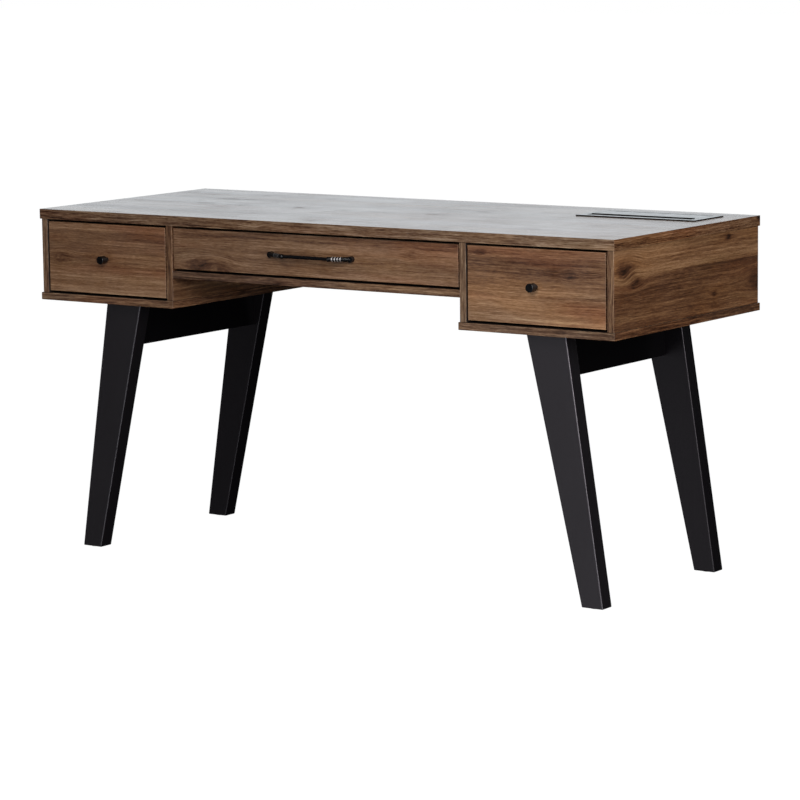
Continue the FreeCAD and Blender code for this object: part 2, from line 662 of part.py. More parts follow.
def carcass_nodes(fasteners):
    """The boards of the carcass and the leg frames."""
    centre_bottom, centre_back = centre_boards(fasteners)
    nodes = {"top_panel": top_panel(fasteners), "centre_bottom_board": centre_bottom,
             "centre_back_panel": centre_back}
    right = carcass_boards(fasteners)
    for name, board in right.items():
        nodes["right_" + name] = board
        nodes["left_" + name] = mirrored(board)
    grommet_hole = grommet_rod(GROMMET_SLEEVE_RADIUS, (PANEL_Y[1] - BOARD, PANEL_Y[1]))
    nodes["right_back_panel"] = right["back_panel"].cut(grommet_hole)
    frame = {"front_{}_leg": leg(FRONT_LEG_Y, fasteners), "rear_{}_leg": leg(REAR_LEG_Y, fasteners),
             "{}_apron": apron(fasteners)}
    for name, solid in frame.items():
        nodes[name.format("right")] = solid
        nodes[name.format("left")] = mirrored(solid)
    return nodes


def side_drawer_nodes():
    """The right drawer and its mirror image, each with a knob."""
    right = drawer_box(PEDESTAL_OPENING, SIDE_DRAWER_BOX_Z)
    screw = handle_screw(PEDESTAL_MIDDLE, SIDE_FRONT_MIDDLE_Z)
    front = drawer_front(PEDESTAL_OPENING, PEDESTAL_FLOOR, [screw, right["bottom"]])
    nodes = {"{}_drawer_front": front, "{}_drawer_back": right["back"], "{}_drawer_bottom": right["bottom"],
             "{}_knob": knob(PEDESTAL_MIDDLE, SIDE_FRONT_MIDDLE_Z), "{}_knob_screw": screw}
    named = {}
    for name, shape in nodes.items():
        named[name.format("right")] = shape
        named[name.format("left")] = mirrored(shape)
    for side, other in (SIDES, SIDES[::-1]):
        named["right_drawer_" + side + "_side"] = right[side + "_side"]
        named["left_drawer_" + other + "_side"] = mirrored(right[side + "_side"])
    return named


def centre_drawer_nodes():
    """The centre drawer with its bar pull."""
    pieces = drawer_box(CENTRE_OPENING, CENTRE_DRAWER_BOX_Z)
    screws = [handle_screw(x, PULL_HEIGHT) for x in about(0, PULL_SPACING)]
    named = {"centre_drawer_" + name: shape for name, shape in pieces.items()}
    named["centre_drawer_front"] = drawer_front(CENTRE_OPENING, CENTRE_FLOOR, screws + [pieces["bottom"]])
    named["centre_pull"] = centre_pull(screws)
    named["pull_screws"] = screws
    return named


def runner_nodes():
    """The runners of the three drawers: cabinet, middle and drawer channels."""
    left_opening = (-PEDESTAL_OPENING[1], -PEDESTAL_OPENING[0])
    drawers = {"left": (left_opening, SIDE_DRAWER_BOX_Z), "centre": (CENTRE_OPENING, CENTRE_DRAWER_BOX_Z),
               "right": (PEDESTAL_OPENING, SIDE_DRAWER_BOX_Z)}
    named = {"cabinet_runners": []}
    for name, (opening, box_z) in drawers.items():
        named["cabinet_runners"] += runner_pair(CABINET_CHANNEL, opening, box_z)
        named[name + "_middle_runners"] = runner_pair(MIDDLE_CHANNEL, opening, box_z)
        named[name + "_drawer_runners"] = runner_pair(DRAWER_CHANNEL, opening, box_z)
    return named


def power_box_nodes():
    """The power box, its flap and the way out for the mains lead."""
    return {
        "power_box_housing": power_box_housing(),
        "power_box_base": power_box_base(),
        "power_box_flap": flap(),
        "flap_hinge_pin": flap_hinge_pin(),
        "socket_module": socket_module(),
        "power_cord_gland": power_cord_gland(),
        "housing_clamps": housing_clamps(),
        "cable_grommet": cable_grommet(),
    }


def save(name, shape):
    """Write one node; a list becomes a group of separate solids."""
    if isinstance(shape, list):
        shape = Part.makeCompound(shape)
    shape.exportStep(os.path.join("parts", name + ".step"))


def main():
    os.makedirs("parts", exist_ok=True)
    joinery = joinery_nodes()
    hidden = [solid for name, group in joinery.items() if name != "cam_locks" for solid in group]
    fasteners = hidden + both_sides(cam_bores())
    for nodes in (joinery, carcass_nodes(fasteners), side_drawer_nodes(), centre_drawer_nodes(),
                  runner_nodes(), power_box_nodes()):
        for name, shape in nodes.items():
            save(name, shape)


main()
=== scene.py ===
import bmesh
import bpy
import math
from mathutils import Matrix, Vector


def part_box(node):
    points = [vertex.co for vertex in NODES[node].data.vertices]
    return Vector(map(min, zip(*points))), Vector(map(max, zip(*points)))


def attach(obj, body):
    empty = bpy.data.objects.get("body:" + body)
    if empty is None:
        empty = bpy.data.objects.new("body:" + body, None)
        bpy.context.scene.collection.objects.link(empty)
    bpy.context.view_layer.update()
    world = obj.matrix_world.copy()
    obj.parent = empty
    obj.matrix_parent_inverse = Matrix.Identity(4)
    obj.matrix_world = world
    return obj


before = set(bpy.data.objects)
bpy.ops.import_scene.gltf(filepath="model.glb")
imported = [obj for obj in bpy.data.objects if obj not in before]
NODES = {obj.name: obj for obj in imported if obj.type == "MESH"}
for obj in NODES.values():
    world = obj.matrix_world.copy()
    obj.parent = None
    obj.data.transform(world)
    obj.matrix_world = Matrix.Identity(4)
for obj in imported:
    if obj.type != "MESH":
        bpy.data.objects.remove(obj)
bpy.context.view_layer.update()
SIDES = ("left", "centre", "right")
RIGHT, LEFT, BACK, UP, DOWN = (1, 0, 0), (-1, 0, 0), (0, 1, 0), (0, 0, 1), (0, 0, -1)
WHITE = (1, 1, 1, 1)


# ---------------------------------------------------------------- node helpers

FLAT_DOT, SHARP_DOT = 0.995, 0.94       # the rounded normal against the plain one, on the flat and on an edge


class Graph:
    """A material's node tree, with one short call for each kind of node."""

    def __init__(self, name):
        self.material = bpy.data.materials.new(name)
        self.material.use_nodes = True
        self.tree = self.material.node_tree
        self.tree.nodes.clear()
        self.shader = self.add("ShaderNodeBsdfPrincipled")
        output = self.add("ShaderNodeOutputMaterial")
        self.link(self.shader.outputs[0], output.inputs[0])

    def add(self, kind, **settings):
        node = self.tree.nodes.new(kind)
        for key, value in settings.items():
            setattr(node, key, value)
        return node

    def link(self, source, target):
        self.tree.links.new(source, target)

    def feed(self, socket, value):
        """Link a socket to another one, or set it to a constant."""
        if isinstance(value, bpy.types.NodeSocket):
            self.link(value, socket)
        else:
            socket.default_value = value

    def feed_all(self, sockets, values):
        for socket, value in zip(sockets, values):
            self.feed(socket, value)

    def surface(self, values):
        """Feed the shader's sockets, given by name."""
        for name, value in values.items():
            self.feed(self.shader.inputs[name], value)

    def math(self, operation, *values):
        node = self.add("ShaderNodeMath", operation=operation)
        self.feed_all(node.inputs, values)
        return node.outputs[0]

    def plus(self, a, b):
        return self.math("ADD", a, b)

    def minus(self, a, b):
        return self.math("SUBTRACT", a, b)

    def times(self, a, b):
        return self.math("MULTIPLY", a, b)

    def plus_share(self, total, value, share):
        """The total plus a share of the value."""
        return self.plus(self.times(value, share), total)

    def vector_math(self, operation, a, b):
        node = self.add("ShaderNodeVectorMath", operation=operation)
        self.feed_all(node.inputs, (a, b))
        return node

    def split(self, vector):
        node = self.add("ShaderNodeSeparateXYZ")
        self.link(vector, node.inputs[0])
        return node.outputs

    def vector(self, x, y, z):
        node = self.add("ShaderNodeCombineXYZ")
        self.feed_all(node.inputs, (x, y, z))
        return node.outputs[0]

    def mix(self, data_type, first, result, values, **settings):
        """A Mix node: its inputs for this type of data start at first, and its output is result."""
        node = self.add("ShaderNodeMix", data_type=data_type, **settings)
        self.feed_all((node.inputs[0], node.inputs[first], node.inputs[first + 1]), values)
        return node.outputs[result]

    def choose(self, factor, a, b):
        """a where the factor is 0, b where it is 1."""
        return self.mix("FLOAT", 2, 0, (factor, a, b))

    def choose_vector(self, factor, a, b):
        return self.mix("VECTOR", 4, 1, (factor, a, b))

    def choose_colour(self, factor, a, b, blend="MIX"):
        return self.mix("RGBA", 6, 2, (factor, a, b), blend_type=blend)

    def span(self, value, low, high, to_low=0.0, to_high=1.0):
        """An eased step of the value between two limits."""
        node = self.add("ShaderNodeMapRange", interpolation_type="SMOOTHSTEP")
        self.feed_all(node.inputs, (value, low, high, to_low, to_high))
        return node.outputs[0]

    def noise(self, vector, detail, rough):
        node = self.add("ShaderNodeTexNoise")
        self.link(vector, node.inputs["Vector"])
        node.inputs["Scale"].default_value = 1.0
        node.inputs["Detail"].default_value = detail
        node.inputs["Roughness"].default_value = rough
        return node.outputs[0]

    def object_noise(self, rates, detail=3.0, rough=0.6):
        """Noise over the object's own coordinates, with a rate for each of X, Y and Z."""
        parts = self.split(self.coordinates("Object"))
        scaled = [self.times(part, rate) for part, rate in zip(parts, rates)]
        return self.noise(self.vector(*scaled), detail, rough)

    def ramp(self, factor, stops, colour=True):
        node = self.add("ShaderNodeValToRGB")
        band = node.color_ramp
        while len(band.elements) < len(stops):
            band.elements.new(1.0)
        for element, (place, value) in zip(band.elements, stops):
            element.position = place
            element.color = (*value, 1.0) if colour else (value, value, value, 1.0)
        self.link(factor, node.inputs[0])
        return node.outputs[0]

    def bump(self, height, strength, distance):
        node = self.add("ShaderNodeBump")
        node.inputs["Strength"].default_value = strength
        node.inputs["Distance"].default_value = distance
        self.link(height, node.inputs["Height"])
        self.link(node.outputs[0], self.shader.inputs["Normal"])

    def coordinates(self, kind):
        return self.add("ShaderNodeTexCoord").outputs[kind]

    def arris(self, radius):
        """1 close to a sharp edge, 0 on the flat."""
        rounded = self.add("ShaderNodeBevel", samples=6)
        rounded.inputs["Radius"].default_value = radius
        plain = self.add("ShaderNodeNewGeometry").outputs["Normal"]
        dot = self.vector_math("DOT_PRODUCT", rounded.outputs[0], plain)
        return self.span(dot.outputs["Value"], FLAT_DOT, SHARP_DOT)


def srgb(red, green, blue):
    """Linear light from a colour of 0 to 255."""
    return tuple(((value / 255 + 0.055) / 1.055) ** 2.4 if value > 10 else value / 255 / 12.92
                 for value in (red, green, blue))


def paint(names, material):
    """Give CAD nodes a material."""
    for name in names:
        for slot in NODES[name].material_slots:
            slot.material = material


# ---------------------------------------------------------------- walnut laminate

WALNUT = ((0.0, srgb(36, 21, 13)), (0.25, srgb(80, 51, 34)), (0.5, srgb(120, 87, 61)),
          (0.75, srgb(154, 120, 92)), (1.0, srgb(190, 158, 126)))
# inner faces made dark: painted shade of the cabinet's inside, seen through the gaps
INSIDE_SHADE_COLOUR = (*srgb(40, 32, 28), 1)
EDGE_TINT = (1.06, 1.22, 1.42, 1)
PLAIN_TINT = (1.0, 1.0, 1.0)
PORE_COLOUR = (0.42, 0.36, 0.33, 1)

# Noise over the print: rate along the grain, rate across it, detail, roughness, shift.
PRINT = {"slow": (1.8, 6.0, 3.0, 0.5, 0.0),
         "fast": (9.0, 36.0, 2.0, 0.5, 0.0),
         "broad": (1.5, 26.0, 3.0, 0.55, 0.0),
         "streak": (3.0, 210.0, 4.0, 0.6, 1.7),
         "flecks": (22.0, 520.0, 4.0, 0.66, 6.1),
         "fine": (90.0, 1100.0, 3.0, 0.6, 8.3),
         "red": (2.2, 15.0, 2.0, 0.5, 2.0),
         "gold": (1.8, 11.0, 3.0, 0.55, 7.7),
         "olive": (3.0, 26.0, 2.0, 0.5, 4.4),
         "pores": (90.0, 1500.0, 2.0, 0.5, 0.0),
         "smear": (4.0, 9.0, 4.0, 0.5, 4.0),
         "mottle": (13.0, 15.0, 4.0, 0.65, 3.1)}
# Casts of colour over the print: layer, where it starts and is full, its most, its colour.
CASTS = (("red", -0.02, 0.18, 0.75, (0.84, 0.62, 0.54, 1)),
         ("gold", -0.02, 0.16, 0.70, (1.10, 0.99, 0.80, 1)),
         ("olive", 0.0, 0.20, 0.50, (0.86, 0.90, 0.84, 1)))
SLOW_WANDER, FAST_WANDER = 0.013, 0.0022    # metres that the grain strays across the board
KNOT_STRETCH = 1.9                          # a knot's length to its height
KNOT_REACH, KNOT_PUSH = 2.6, 0.75           # how far, in knot sizes, and how strongly it bends the grain
KNOT_SPOT, KNOT_DARK = 1.5, 0.42            # the radius of its dark spot, and how dark that is
SEED_STEP = 5.31                            # these keep the noise of two boards, or of two faces, apart
SIDE_APART, FRONT_APART, FLAT_APART = 3.7, 9.1, 15.3
SIDE_EDGE_DARKER = 0.04
BROAD_TONE, STREAK_TONE, FINE_TONE = 0.75, 0.72, 0.75
FLECKS_ON_EDGES, FLECKS_ON_FACE = 1.5, 0.72
PORE_START, PORE_FULL, PORE_MOST = 0.10, 0.22, 0.45
SMEAR_DULL, STREAK_DULL, PORE_DULL = 0.16, 0.20, 0.12
BROAD_SHEEN, FLECKS_SHEEN, MEAN_SHEEN = 0.5, 0.8, 0.5
STREAK_RELIEF, FINE_RELIEF, PORE_RELIEF = 0.5, 0.5, 0.6
ALIKE = 0.7                                 # the least cosine between two ways that count as the same


def board_places(graph, node, upright_edges):
    """Places on a board: distance along the grain, across it, and a number that differs between faces."""
    low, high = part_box(node)
    x, y, z = graph.split(graph.vector_math("SUBTRACT", graph.coordinates("Object"), low).outputs[0])
    size = graph.add("ShaderNodeVectorMath", operation="ABSOLUTE")
    graph.link(graph.coordinates("Normal"), size.inputs[0])
    normal_x, _, normal_z = graph.split(size.outputs[0])
    on_x = graph.math("GREATER_THAN", normal_x, ALIKE)
    on_z = graph.math("GREATER_THAN", normal_z, ALIKE)
    side = graph.vector(y, z, SIDE_APART)
    front = graph.vector(z, x, FRONT_APART) if upright_edges else graph.vector(x, z, FRONT_APART)
    flat = graph.vector(x, y, FLAT_APART)
    picked = graph.choose_vector(on_x, graph.choose_vector(on_z, front, flat), side)
    return picked, on_x, on_z, high - low


def faces_way(graph, way):
    """1 on the faces that look the given way, 0 elsewhere."""
    dot = graph.vector_math("DOT_PRODUCT", graph.coordinates("Normal"), way)
    return graph.math("GREATER_THAN", dot.outputs["Value"], ALIKE)


def bend_round_knots(graph, along, across, knots):
    """Push the grain apart round each knot. Also gives the dark of the knots, or None without any."""
    dark = None
    for knot_along, knot_across, knot_size, strength in knots:
        du = graph.times(graph.minus(along, knot_along), 1 / (knot_size * KNOT_STRETCH))
        dv = graph.times(graph.minus(across, knot_across), 1 / knot_size)
        distance = graph.math("SQRT", graph.plus(graph.times(du, du), graph.times(dv, dv)))
        near = graph.span(distance, KNOT_REACH, 0.0)
        pushed = graph.times(graph.minus(across, knot_across), graph.times(near, -KNOT_PUSH))
        across = graph.plus(across, pushed)
        spot = graph.times(graph.span(distance, KNOT_SPOT, 0.0), strength)
        dark = spot if dark is None else graph.math("MAXIMUM", dark, spot)
    return across, dark


def walnut(node, seed, bands=((0.0, 0.5), (1.0, 0.5)), knots=(), face="Y", upright_edges=False,
           painted_shade_tone=0.0, rough=0.40, edge_tone=0.40, tint=PLAIN_TINT, inside_shade_way=None, mottle=1.0):
    """Printed walnut on one board.

    bands are (share of the height, tone) up the main face, and knots are (along, across, size, strength).
    face is the axis that the main face looks along. The faces that look the given inner way are dark: painted
    shade of the cabinet's inside, seen through the gaps.
    """
    graph = Graph("walnut_" + node)
    picked, on_x, on_z, size = board_places(graph, node, upright_edges)
    along, across, apart = graph.split(picked)
    seeded = graph.plus(apart, seed * SEED_STEP)

    def grain(layer, across):
        rate_along, rate_across, detail, rough_share, shift = PRINT[layer]
        place = graph.vector(graph.times(along, rate_along), graph.times(across, rate_across),
                             graph.plus(seeded, shift))
        return graph.minus(graph.noise(place, detail, rough_share), 0.5)

    strayed = graph.plus_share(across, grain("slow", across), SLOW_WANDER)
    strayed = graph.plus_share(strayed, grain("fast", across), FAST_WANDER)
    across, dark = bend_round_knots(graph, along, strayed, knots)
    if dark is not None and face == "Z":
        dark = graph.times(dark, on_x)

    height = size[1] if face == "Z" else size[2]
    main = {"X": on_x, "Z": on_z}.get(face)
    if main is None:
        main = graph.minus(1.0, graph.math("MAXIMUM", on_x, on_z))
    tone = graph.ramp(graph.times(across, 1 / height), bands, colour=False)
    tone = graph.choose(main, graph.minus(edge_tone, graph.times(on_x, SIDE_EDGE_DARKER)), tone)
    broad, streak, flecks, fine = (grain(layer, across) for layer in ("broad", "streak", "flecks", "fine"))
    flecks_tone = graph.choose(main, FLECKS_ON_EDGES, FLECKS_ON_FACE)
    for layer, share in ((broad, BROAD_TONE), (streak, STREAK_TONE), (flecks, flecks_tone),
                         (fine, FINE_TONE)):
        tone = graph.plus_share(tone, layer, share)
    # painted shade: the whole board made darker by this much
    tone = graph.plus(tone, painted_shade_tone)
    if dark is not None:
        tone = graph.minus(tone, graph.times(dark, KNOT_DARK))

    colour = graph.ramp(tone, WALNUT)
    for layer, low, high, most, cast in CASTS:
        amount = graph.span(grain(layer, across), low, high, 0.0, most)
        colour = graph.choose_colour(amount, colour, cast, "MULTIPLY")
    pore = graph.span(grain("pores", across), PORE_START, PORE_FULL)
    colour = graph.choose_colour(graph.times(pore, PORE_MOST), colour, PORE_COLOUR, "MULTIPLY")
    colour = graph.choose_colour(1.0, colour, (*tint, 1), "MULTIPLY")
    front_edges = graph.minus(1.0, graph.math("MAXIMUM", main, on_x))
    colour = graph.choose_colour(front_edges, colour, EDGE_TINT, "MULTIPLY")
    # painted shade on the faces that look inwards
    if inside_shade_way is not None:
        colour = graph.choose_colour(faces_way(graph, inside_shade_way), colour, INSIDE_SHADE_COLOUR)

    dull = graph.plus_share(graph.times(grain("smear", across), SMEAR_DULL), streak, STREAK_DULL)
    dull = graph.plus_share(graph.plus(dull, rough), pore, PORE_DULL)
    sheen = graph.plus_share(grain("mottle", across), broad, BROAD_SHEEN)
    sheen = graph.times(graph.plus_share(sheen, flecks, FLECKS_SHEEN), mottle)
    graph.surface({"Base Color": colour, "Roughness": dull, "IOR": 1.5,
                   "Specular IOR Level": graph.plus(sheen, MEAN_SHEEN)})
    relief = graph.plus_share(graph.times(streak, STREAK_RELIEF), fine, FINE_RELIEF)
    relief = graph.minus(relief, graph.times(pore, PORE_RELIEF))
    graph.bump(relief, strength=0.25, distance=0.00012)
    paint([node], graph.material)


LEFT_TONE = ((0.0, 0.54), (0.3, 0.52), (0.56, 0.56), (0.60, 0.36), (0.8, 0.34), (1.0, 0.42))
RIGHT_TONE = ((0.0, 0.60), (0.3, 0.56), (0.46, 0.60), (0.52, 0.38), (0.8, 0.34), (0.93, 0.38),
              (1.0, 0.60))
CENTRE_TONE = ((0.0, 0.53), (0.3, 0.49), (0.6, 0.56), (0.78, 0.55), (0.86, 0.41), (1.0, 0.41))
SIDE_TONE = ((0.0, 0.36), (0.2, 0.38), (0.615, 0.35), (0.635, 0.60), (0.76, 0.55), (0.86, 0.43),
             (1.0, 0.44))
TOP_TONE = ((0.0, 0.5), (0.15, 0.55), (0.16, 0.4), (0.33, 0.44), (0.34, 0.58), (0.5, 0.52), (0.51, 0.38),
            (0.68, 0.45), (0.69, 0.56), (0.84, 0.5), (0.85, 0.42), (1.0, 0.48))

# a dark spot at the rear end of the top's side edges, drawn with the knot shape
TOP_REAR_DARK_SPOT = ((0.592, 0.017, 0.008, 1.2),)
LEFT_KNOTS = ((0.035, 0.075, 0.012, 0.35),)
RIGHT_KNOTS = ((0.245, 0.100, 0.008, 0.6), (0.03, 0.140, 0.007, 0.4))
CENTRE_KNOTS = ((0.075, 0.008, 0.020, 0.6), (0.13, 0.004, 0.014, 0.5), (0.62, 0.06, 0.009, 0.3))
# the last entry is no knot: a dark spot low at the rear end, painted shade of the rear edge
RIGHT_SIDE_KNOTS_AND_REAR_SHADE = ((0.045, 0.118, 0.022, 0.95), (0.085, 0.098, 0.013, 0.6), (0.46, 0.150, 0.006, 1.1),
                    (0.40, 0.04, 0.006, 0.5), (0.580, 0.05, 0.020, 0.6))
LEFT_SIDE_KNOTS = ((0.12, 0.11, 0.02, 0.6),)

BOTTOM_EDGES = {"right_bottom_board": 0.39, "left_bottom_board": 0.38, "centre_bottom_board": 0.35}


def dress_boards():
    """Walnut laminate on every board of the carcass and on the drawer fronts."""
    walnut("top_panel", 1, TOP_TONE, TOP_REAR_DARK_SPOT, face="Z", rough=0.24, edge_tone=0.41,
           tint=(0.96, 0.98, 1.0), inside_shade_way=DOWN, mottle=1.5)
    walnut("left_drawer_front", 2, LEFT_TONE, LEFT_KNOTS, inside_shade_way=BACK)
    walnut("right_drawer_front", 3, RIGHT_TONE, RIGHT_KNOTS, inside_shade_way=BACK)
    walnut("centre_drawer_front", 4, CENTRE_TONE, CENTRE_KNOTS, tint=(0.94, 0.98, 1.04), inside_shade_way=BACK)
    upright = {"bands": SIDE_TONE, "face": "X", "upright_edges": True}
    walnut("right_side_panel", 5, knots=RIGHT_SIDE_KNOTS_AND_REAR_SHADE, tint=(1.02, 0.97, 0.86), inside_shade_way=LEFT, **upright)
    walnut("left_side_panel", 6, knots=LEFT_SIDE_KNOTS, inside_shade_way=RIGHT, **upright)
    walnut("right_inner_panel", 7, edge_tone=0.36, inside_shade_way=RIGHT, **upright)
    # the left inner panel is darker all over: painted shade under the centre drawer
    walnut("left_inner_panel", 8, painted_shade_tone=-0.07, edge_tone=0.47, inside_shade_way=LEFT, **upright)
    for seed, (name, edge_tone) in enumerate(BOTTOM_EDGES.items(), 9):
        walnut(name, seed, face="Z", edge_tone=edge_tone, inside_shade_way=UP)
    for seed, name in enumerate(("right_back_panel", "left_back_panel", "centre_back_panel"), 12):
        walnut(name, seed, LEFT_TONE)


# ---------------------------------------------------------------- other materials

# Rates of noise along X, Y and Z, in turns per metre.
PAINT_GRAIN, PAINT_CLOUD, PAINT_PATCH = (420.0, 420.0, 9.0), (14.0, 14.0, 6.0), (160.0, 160.0, 160.0)
STEEL_LINES, STEEL_CLOUD = (900.0, 12.0, 900.0), (30.0, 12.0, 30.0)
ALONG_X, ALONG_Y = (9.0, 260.0, 260.0), (260.0, 9.0, 260.0)
COAT_PATCH = (700.0, 700.0, 700.0)
CLOUD_SHARE = 0.04                                          # a cloud's rate to the fine texture's rate

ARRIS_RADIUS = 0.0012
ARRIS_GLINT_AND_WEAR = 0.65
PATCH_START, PATCH_FULL = 0.35, 0.60
LEG_DARK, LEG_LIGHT = srgb(6, 4, 6), srgb(12, 9, 12)
# the aprons' paint is the legs' black made darker: painted shade under the pedestals
SHADED_APRON_DARK, SHADED_APRON_LIGHT = srgb(5, 4, 5), srgb(10, 8, 10)
PAINT_SHEEN = (1.0, 0.90, 0.96, 1)
# light arris lines on the black paint: a painted highlight, with a little wear
GLINT_AND_WORN_PAINT = (*srgb(112, 106, 110), 1)
COAT_DARK, COAT_LIGHT = srgb(6, 5, 6), srgb(15, 13, 15)
# bright metal on the pull's ridges: a painted glint, with wear
BARE_METAL_GLINT = (*srgb(196, 190, 190), 1)
BOARD_DARK, BOARD_LIGHT = srgb(58, 46, 40), srgb(82, 67, 58)
RIDGES_START, RIDGES_PITCH, RIDGES_END = 0.0666, 0.00554, 0.0888    # metres from the pull's middle
RIDGE_FOOT, RIDGE_CREST = 0.18, 0.30                        # shares of the pitch
LEFT_ARM_GLINT_SHARE, BAR_HALF = 0.12, 0.05                            # the left arm's share of the painted glint and wear, lower as painted shade; half the bar


def black_paint(name, dark, light, gloss, density):
    """Satin black paint over wood whose grain just shows, with light arris lines: a painted highlight, with a
    little wear.
    """
    graph = Graph(name)
    grain = graph.object_noise(PAINT_GRAIN, detail=4.0)
    cloud = graph.object_noise(PAINT_CLOUD, detail=4.0)
    tone = graph.plus_share(graph.times(grain, 0.8), cloud, 0.2)
    patch = graph.object_noise(PAINT_PATCH)
    glint_and_wear = graph.times(graph.arris(ARRIS_RADIUS), graph.span(patch, PATCH_START, PATCH_FULL))
    coat = graph.ramp(tone, ((0.2, dark), (0.8, light)))
    graph.surface({"Base Color": graph.choose_colour(graph.times(glint_and_wear, ARRIS_GLINT_AND_WEAR), coat, GLINT_AND_WORN_PAINT),
                   "Roughness": graph.plus_share(0.30, cloud, 0.04), "IOR": density,
                   "Specular IOR Level": gloss, "Specular Tint": PAINT_SHEEN})
    graph.bump(grain, strength=0.22, distance=0.0002)
    return graph.material


def speckled(name, dark, light, rate, rough, bump, metallic=0.0, gloss=0.5, sheen=WHITE):
    """A moulded or coated surface: slight mottling and a fine texture."""
    graph = Graph(name)
    fine = graph.object_noise((rate,) * 3)
    cloud = graph.object_noise((rate * CLOUD_SHARE,) * 3, detail=4.0)
    tone = graph.plus_share(graph.times(fine, 0.5), cloud, 0.5)
    graph.surface({"Base Color": graph.ramp(tone, ((0.25, dark), (0.75, light))), "Metallic": metallic,
                   "Roughness": graph.plus_share(rough, graph.minus(cloud, 0.5), 0.25),
                   "Specular IOR Level": gloss, "Specular Tint": sheen})
    graph.bump(fine, strength=bump, distance=0.0001)
    return graph.material


def drawn_steel(name, dark, light, rough):
    """Zinc-plated steel with the fine lines of its rolling along Y."""
    graph = Graph(name)
    lines = graph.object_noise(STEEL_LINES)
    cloud = graph.object_noise(STEEL_CLOUD, detail=4.0)
    tone = graph.plus_share(graph.times(lines, 0.4), cloud, 0.6)
    graph.surface({"Base Color": graph.ramp(tone, ((0.3, dark), (0.7, light))), "Metallic": 1.0,
                   "Roughness": graph.plus_share(rough, cloud, 0.25)})
    graph.bump(lines, strength=0.15, distance=0.00008)
    return graph.material


def plain_board(name, dark, light, rates):
    """Plain wood or dark laminate with a faint straight texture along the axis of the lowest rate."""
    graph = Graph(name)
    lines = graph.object_noise(rates, detail=4.0)
    graph.surface({"Base Color": graph.ramp(lines, ((0.25, dark), (0.75, light))),
                   "Roughness": graph.plus_share(0.45, lines, 0.2)})
    graph.bump(lines, strength=0.15, distance=0.0001)
    return graph.material


def ridged_metal():
    """The pull's black coat, with bright metal on the ridges between the grooves of its arms: a painted
    glint, with wear; the left arm's ridges are dimmer, as painted shade.
    """
    graph = Graph("ridged_black_metal")
    x = graph.split(graph.coordinates("Object"))[0]
    distance = graph.math("ABSOLUTE", x)
    wave = graph.math("PINGPONG", graph.minus(distance, RIDGES_START), RIDGES_PITCH / 2)
    ridge = graph.span(wave, RIDGES_PITCH * RIDGE_FOOT, RIDGES_PITCH * RIDGE_CREST)
    inside = graph.times(graph.math("GREATER_THAN", distance, RIDGES_START),
                         graph.math("LESS_THAN", distance, RIDGES_END))
    patch = graph.object_noise(COAT_PATCH)
    glint_and_wear = graph.times(graph.times(ridge, inside), graph.span(patch, 0.30, 0.55))
    glint_and_wear = graph.times(glint_and_wear, graph.span(x, -BAR_HALF, BAR_HALF, LEFT_ARM_GLINT_SHARE, 1.0))
    coat = graph.ramp(patch, ((0.3, COAT_DARK), (0.7, COAT_LIGHT)))
    graph.surface({"Base Color": graph.choose_colour(glint_and_wear, coat, BARE_METAL_GLINT),
                   "Metallic": graph.times(glint_and_wear, 0.7), "Roughness": graph.choose(glint_and_wear, 0.24, 0.42)})
    graph.bump(patch, strength=0.12, distance=0.0001)
    return graph.material


def dress_rest():
    """Materials of the legs, the fittings, the drawers' insides and the power box."""
    # one paint on all four legs; the rear copy reflects less: painted shade
    paint(["front_left_leg", "front_right_leg"],
          black_paint("lit_front_leg_paint", LEG_DARK, LEG_LIGHT, gloss=0.76, density=1.8))
    paint(["rear_left_leg", "rear_right_leg"],
          black_paint("shaded_rear_leg_paint", LEG_DARK, LEG_LIGHT, gloss=0.58, density=1.5))
    # the aprons' darker, duller paint: painted shade
    paint(["left_apron", "right_apron"],
          black_paint("shaded_apron_paint", SHADED_APRON_DARK, SHADED_APRON_LIGHT, gloss=0.12, density=1.5))
    paint(["left_knob", "right_knob"],
          speckled("black_metal", COAT_DARK, COAT_LIGHT, rate=900.0, rough=0.22, bump=0.12))
    paint(["centre_pull"], ridged_metal())
    paint(["power_box_flap", "power_box_housing"],
          speckled("black_satin_plastic", srgb(16, 14, 11), srgb(26, 24, 20), rate=1400.0, rough=0.20,
                   bump=0.12, gloss=0.26, sheen=(1.0, 0.95, 0.90, 1)))
    paint(["power_box_base", "cable_grommet", "power_cord_gland", "foot_glides", "socket_module"],
          speckled("black_moulded_plastic", srgb(18, 18, 18), srgb(32, 32, 33), rate=1100.0, rough=0.5,
                   bump=0.4))
    paint([name for name in NODES if name.endswith("_runners")]
          + ["cam_pins", "leg_bolts", "apron_screws", "pull_screws", "left_knob_screw",
             "right_knob_screw", "flap_hinge_pin", "housing_clamps"],
          drawn_steel("zinc_steel", srgb(150, 152, 155), srgb(196, 197, 198), rough=0.28))
    paint(["cam_locks"],
          speckled("die_cast_zinc", srgb(132, 132, 134), srgb(170, 170, 170), rate=700.0, rough=0.45,
                   bump=0.4, metallic=1.0))
    paint(["carcass_dowels", "leg_dowels"],
          plain_board("beech", srgb(176, 140, 100), srgb(206, 172, 130), ALONG_Y))
    for axis, rates, parts in (("x", ALONG_X, ("back", "bottom")),
                               ("y", ALONG_Y, ("left_side", "right_side"))):
        paint([f"{side}_drawer_{part}" for side in SIDES for part in parts],
              plain_board("drawer_board_" + axis, BOARD_DARK, BOARD_LIGHT, rates))


dress_boards()
dress_rest()


# ---------------------------------------------------------------- added pieces

